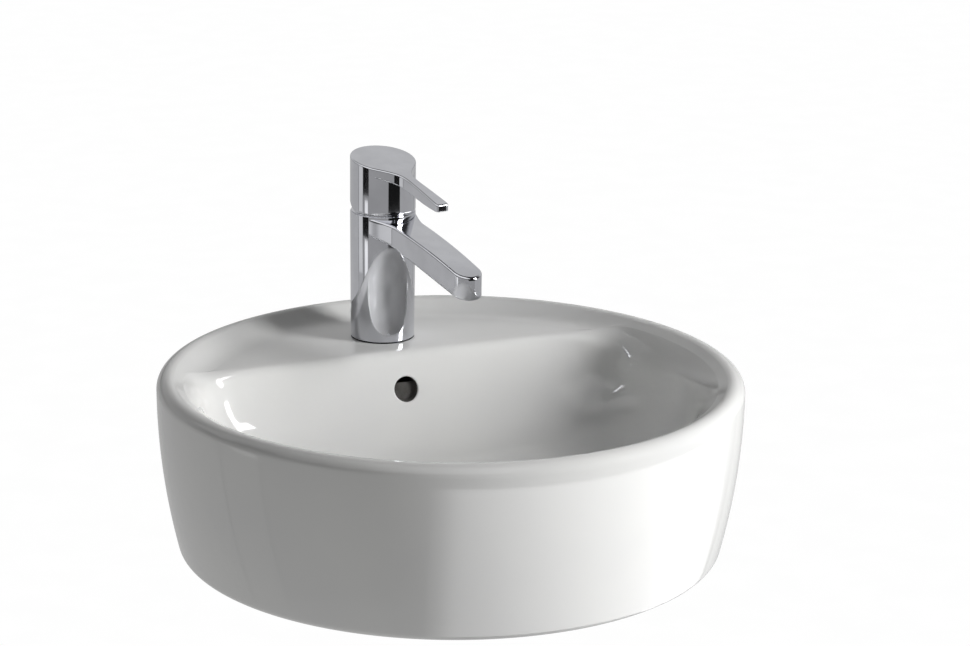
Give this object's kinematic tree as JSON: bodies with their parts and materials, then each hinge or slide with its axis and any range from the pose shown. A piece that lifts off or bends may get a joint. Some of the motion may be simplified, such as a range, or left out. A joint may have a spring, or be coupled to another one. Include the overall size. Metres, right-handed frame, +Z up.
{
  "type": "countertop wash basin with mixer tap",
  "caption": "Round white glazed countertop basin with a rear tap deck, an overflow hole, a push plug and a chrome single-lever mixer whose lever lifts and turns.",
  "frame": {"origin": "centre of the basin's foot, on the counter", "axes": "+Z up; -Y towards the user, with the tap deck at +Y"},
  "size_m": [0.4199, 0.42, 0.2597],
  "materials": {
    "ceramic_glaze": "glossy white glaze",
    "chrome": "polished chrome plate",
    "rubber": "matt black rubber",
    "brass": "turned brass",
    "white_plastic": "moulded plastic",
    "steel": "stainless steel",
    "disc_ceramic": "lapped ceramic"
  },
  "bodies": {
    "basin": {"basin_skirt": "ceramic_glaze", "basin_bowl": "ceramic_glaze", "basin_deck": "ceramic_glaze", "waste_body": "chrome", "tap_body": "chrome", "aerator_housing": "chrome", "dome_collar": "chrome", "waste_flange_seal": "rubber", "waste_gasket": "rubber", "base_gasket": "rubber", "aerator_seal": "rubber", "horseshoe_gasket": "rubber", "cartridge_seal_cold": "rubber", "cartridge_seal_hot": "rubber", "waste_back_nut": "brass", "inlet_bush_cold": "brass", "inlet_bush_hot": "brass", "retaining_nut": "brass", "click_body": "white_plastic", "aerator_insert": "white_plastic", "cartridge_housing": "white_plastic", "click_spring": "steel", "fixing_stud": "steel", "horseshoe_washer": "steel", "fixing_nut": "steel", "fixed_disc": "disc_ceramic"},
    "turret": {"turning_sleeve": "white_plastic", "pivot_pin": "steel"},
    "lever_arm": {"lever": "chrome", "stem": "steel", "grub_screw": "steel", "screw_cover": "chrome"},
    "disc": {"moving_disc": "disc_ceramic"},
    "plug": {"plug_cap": "chrome", "plug_seal": "rubber", "plug_stem": "steel"}
  },
  "joints": [
    {"name": "lever_turn", "type": "hinge", "parent": "basin", "child": "turret", "pos_m": [0, 0.1355, 0.217], "axis": [0, 0, 1], "range_deg": [-50, 50]},
    {"name": "lever_lift", "type": "hinge", "parent": "turret", "child": "lever_arm", "pos_m": [0, 0.1355, 0.217], "axis": [-0.9848, -0.1736, 0], "range_deg": [0, 25]},
    {"name": "disc_slide", "type": "slide", "parent": "turret", "child": "disc", "axis": [0.1736, -0.9848, 0], "range_m": [0, 0.005]},
    {"name": "plug_press", "type": "slide", "parent": "basin", "child": "plug", "axis": [0, 0, 1], "range_m": [-0.008, 0], "stiffness_N_per_m": 300, "springref_m": 0.01, "deforming": ["click_spring"]}
  ],
  "couplings": [
    {"joint": "disc_slide", "follows": "lever_lift", "m_per_rad": 0.0112}
  ]
}
